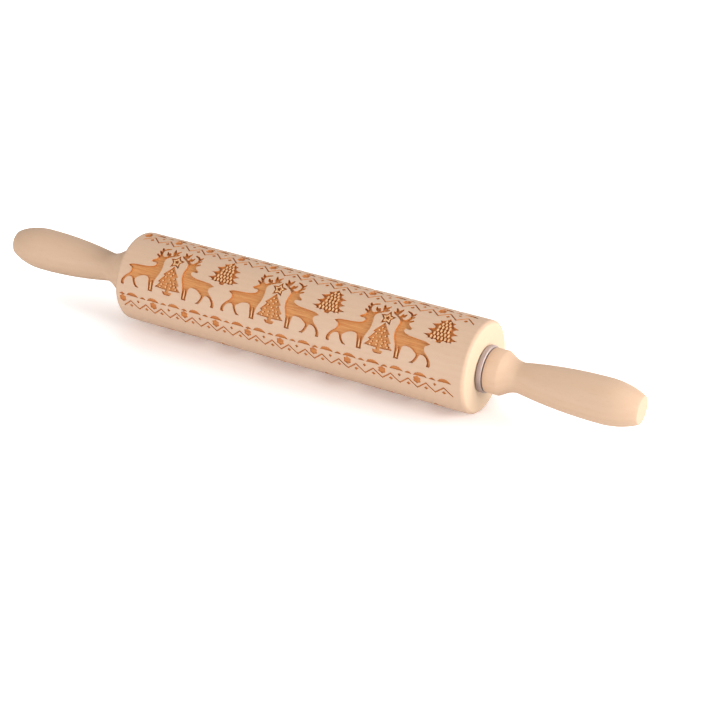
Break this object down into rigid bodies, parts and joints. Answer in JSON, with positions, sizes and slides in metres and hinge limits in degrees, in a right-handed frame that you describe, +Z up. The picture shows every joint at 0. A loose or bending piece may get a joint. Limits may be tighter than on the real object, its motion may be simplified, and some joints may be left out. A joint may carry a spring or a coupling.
{
  "type": "embossed rolling pin",
  "caption": "Wooden rolling pin with an engraved frieze of deer and trees on its barrel, which turns on ball bearings between two turned handles.",
  "frame": {"origin": "under the middle of the barrel, on the surface it rests on", "axes": "+X along the pin towards the right handle, +Z up, the camera side of the frieze faces -Y"},
  "size_m": [0.35, 0.045, 0.045],
  "materials": {
    "beech_barrel": "sanded beech, unvarnished, with laser-browned engraving",
    "beech_handle": "sanded beech, unvarnished",
    "satin_steel": "satin",
    "bright_steel": "ground",
    "ball_steel": "polished",
    "cage_brass": "stamped",
    "shield_steel": "stamped",
    "spring_steel": "blackened",
    "insert_brass": "turned"
  },
  "bodies": {
    "barrel_set": {"barrel": "beech_barrel", "left_bearing_outer_race": "bright_steel", "left_bearing_outer_shield": "shield_steel", "left_bearing_inner_shield": "shield_steel", "right_bearing_outer_race": "bright_steel", "right_bearing_outer_shield": "shield_steel", "right_bearing_inner_shield": "shield_steel"},
    "handle_set": {"axle_rod": "bright_steel", "left_handle": "beech_handle", "left_end_ring": "satin_steel", "left_bearing_inner_race": "bright_steel", "left_retaining_clip": "spring_steel", "left_thread_insert": "insert_brass", "right_handle": "beech_handle", "right_end_ring": "satin_steel", "right_bearing_inner_race": "bright_steel", "right_retaining_clip": "spring_steel", "right_thread_insert": "insert_brass"},
    "left_ball_set": {"left_bearing_cage": "cage_brass", "left_bearing_ball_1": "ball_steel", "left_bearing_ball_2": "ball_steel", "left_bearing_ball_3": "ball_steel", "left_bearing_ball_4": "ball_steel", "left_bearing_ball_5": "ball_steel", "left_bearing_ball_6": "ball_steel", "left_bearing_ball_7": "ball_steel"},
    "right_ball_set": {"right_bearing_cage": "cage_brass", "right_bearing_ball_1": "ball_steel", "right_bearing_ball_2": "ball_steel", "right_bearing_ball_3": "ball_steel", "right_bearing_ball_4": "ball_steel", "right_bearing_ball_5": "ball_steel", "right_bearing_ball_6": "ball_steel", "right_bearing_ball_7": "ball_steel"}
  },
  "joints": [
    {"name": "handle_spin", "type": "hinge", "parent": "barrel_set", "child": "handle_set", "pos_m": [0, 0, 0.0225], "axis": [1, 0, 0], "continuous": true},
    {"name": "left_ball_travel", "type": "hinge", "parent": "barrel_set", "child": "left_ball_set", "pos_m": [-0.0939, 0, 0.0225], "axis": [1, 0, 0], "continuous": true},
    {"name": "right_ball_travel", "type": "hinge", "parent": "barrel_set", "child": "right_ball_set", "pos_m": [0.0939, 0, 0.0225], "axis": [1, 0, 0], "continuous": true}
  ],
  "couplings": [
    {"joint": "left_ball_travel", "follows": "handle_spin", "ratio": 0.38},
    {"joint": "right_ball_travel", "follows": "handle_spin", "ratio": 0.38}
  ]
}
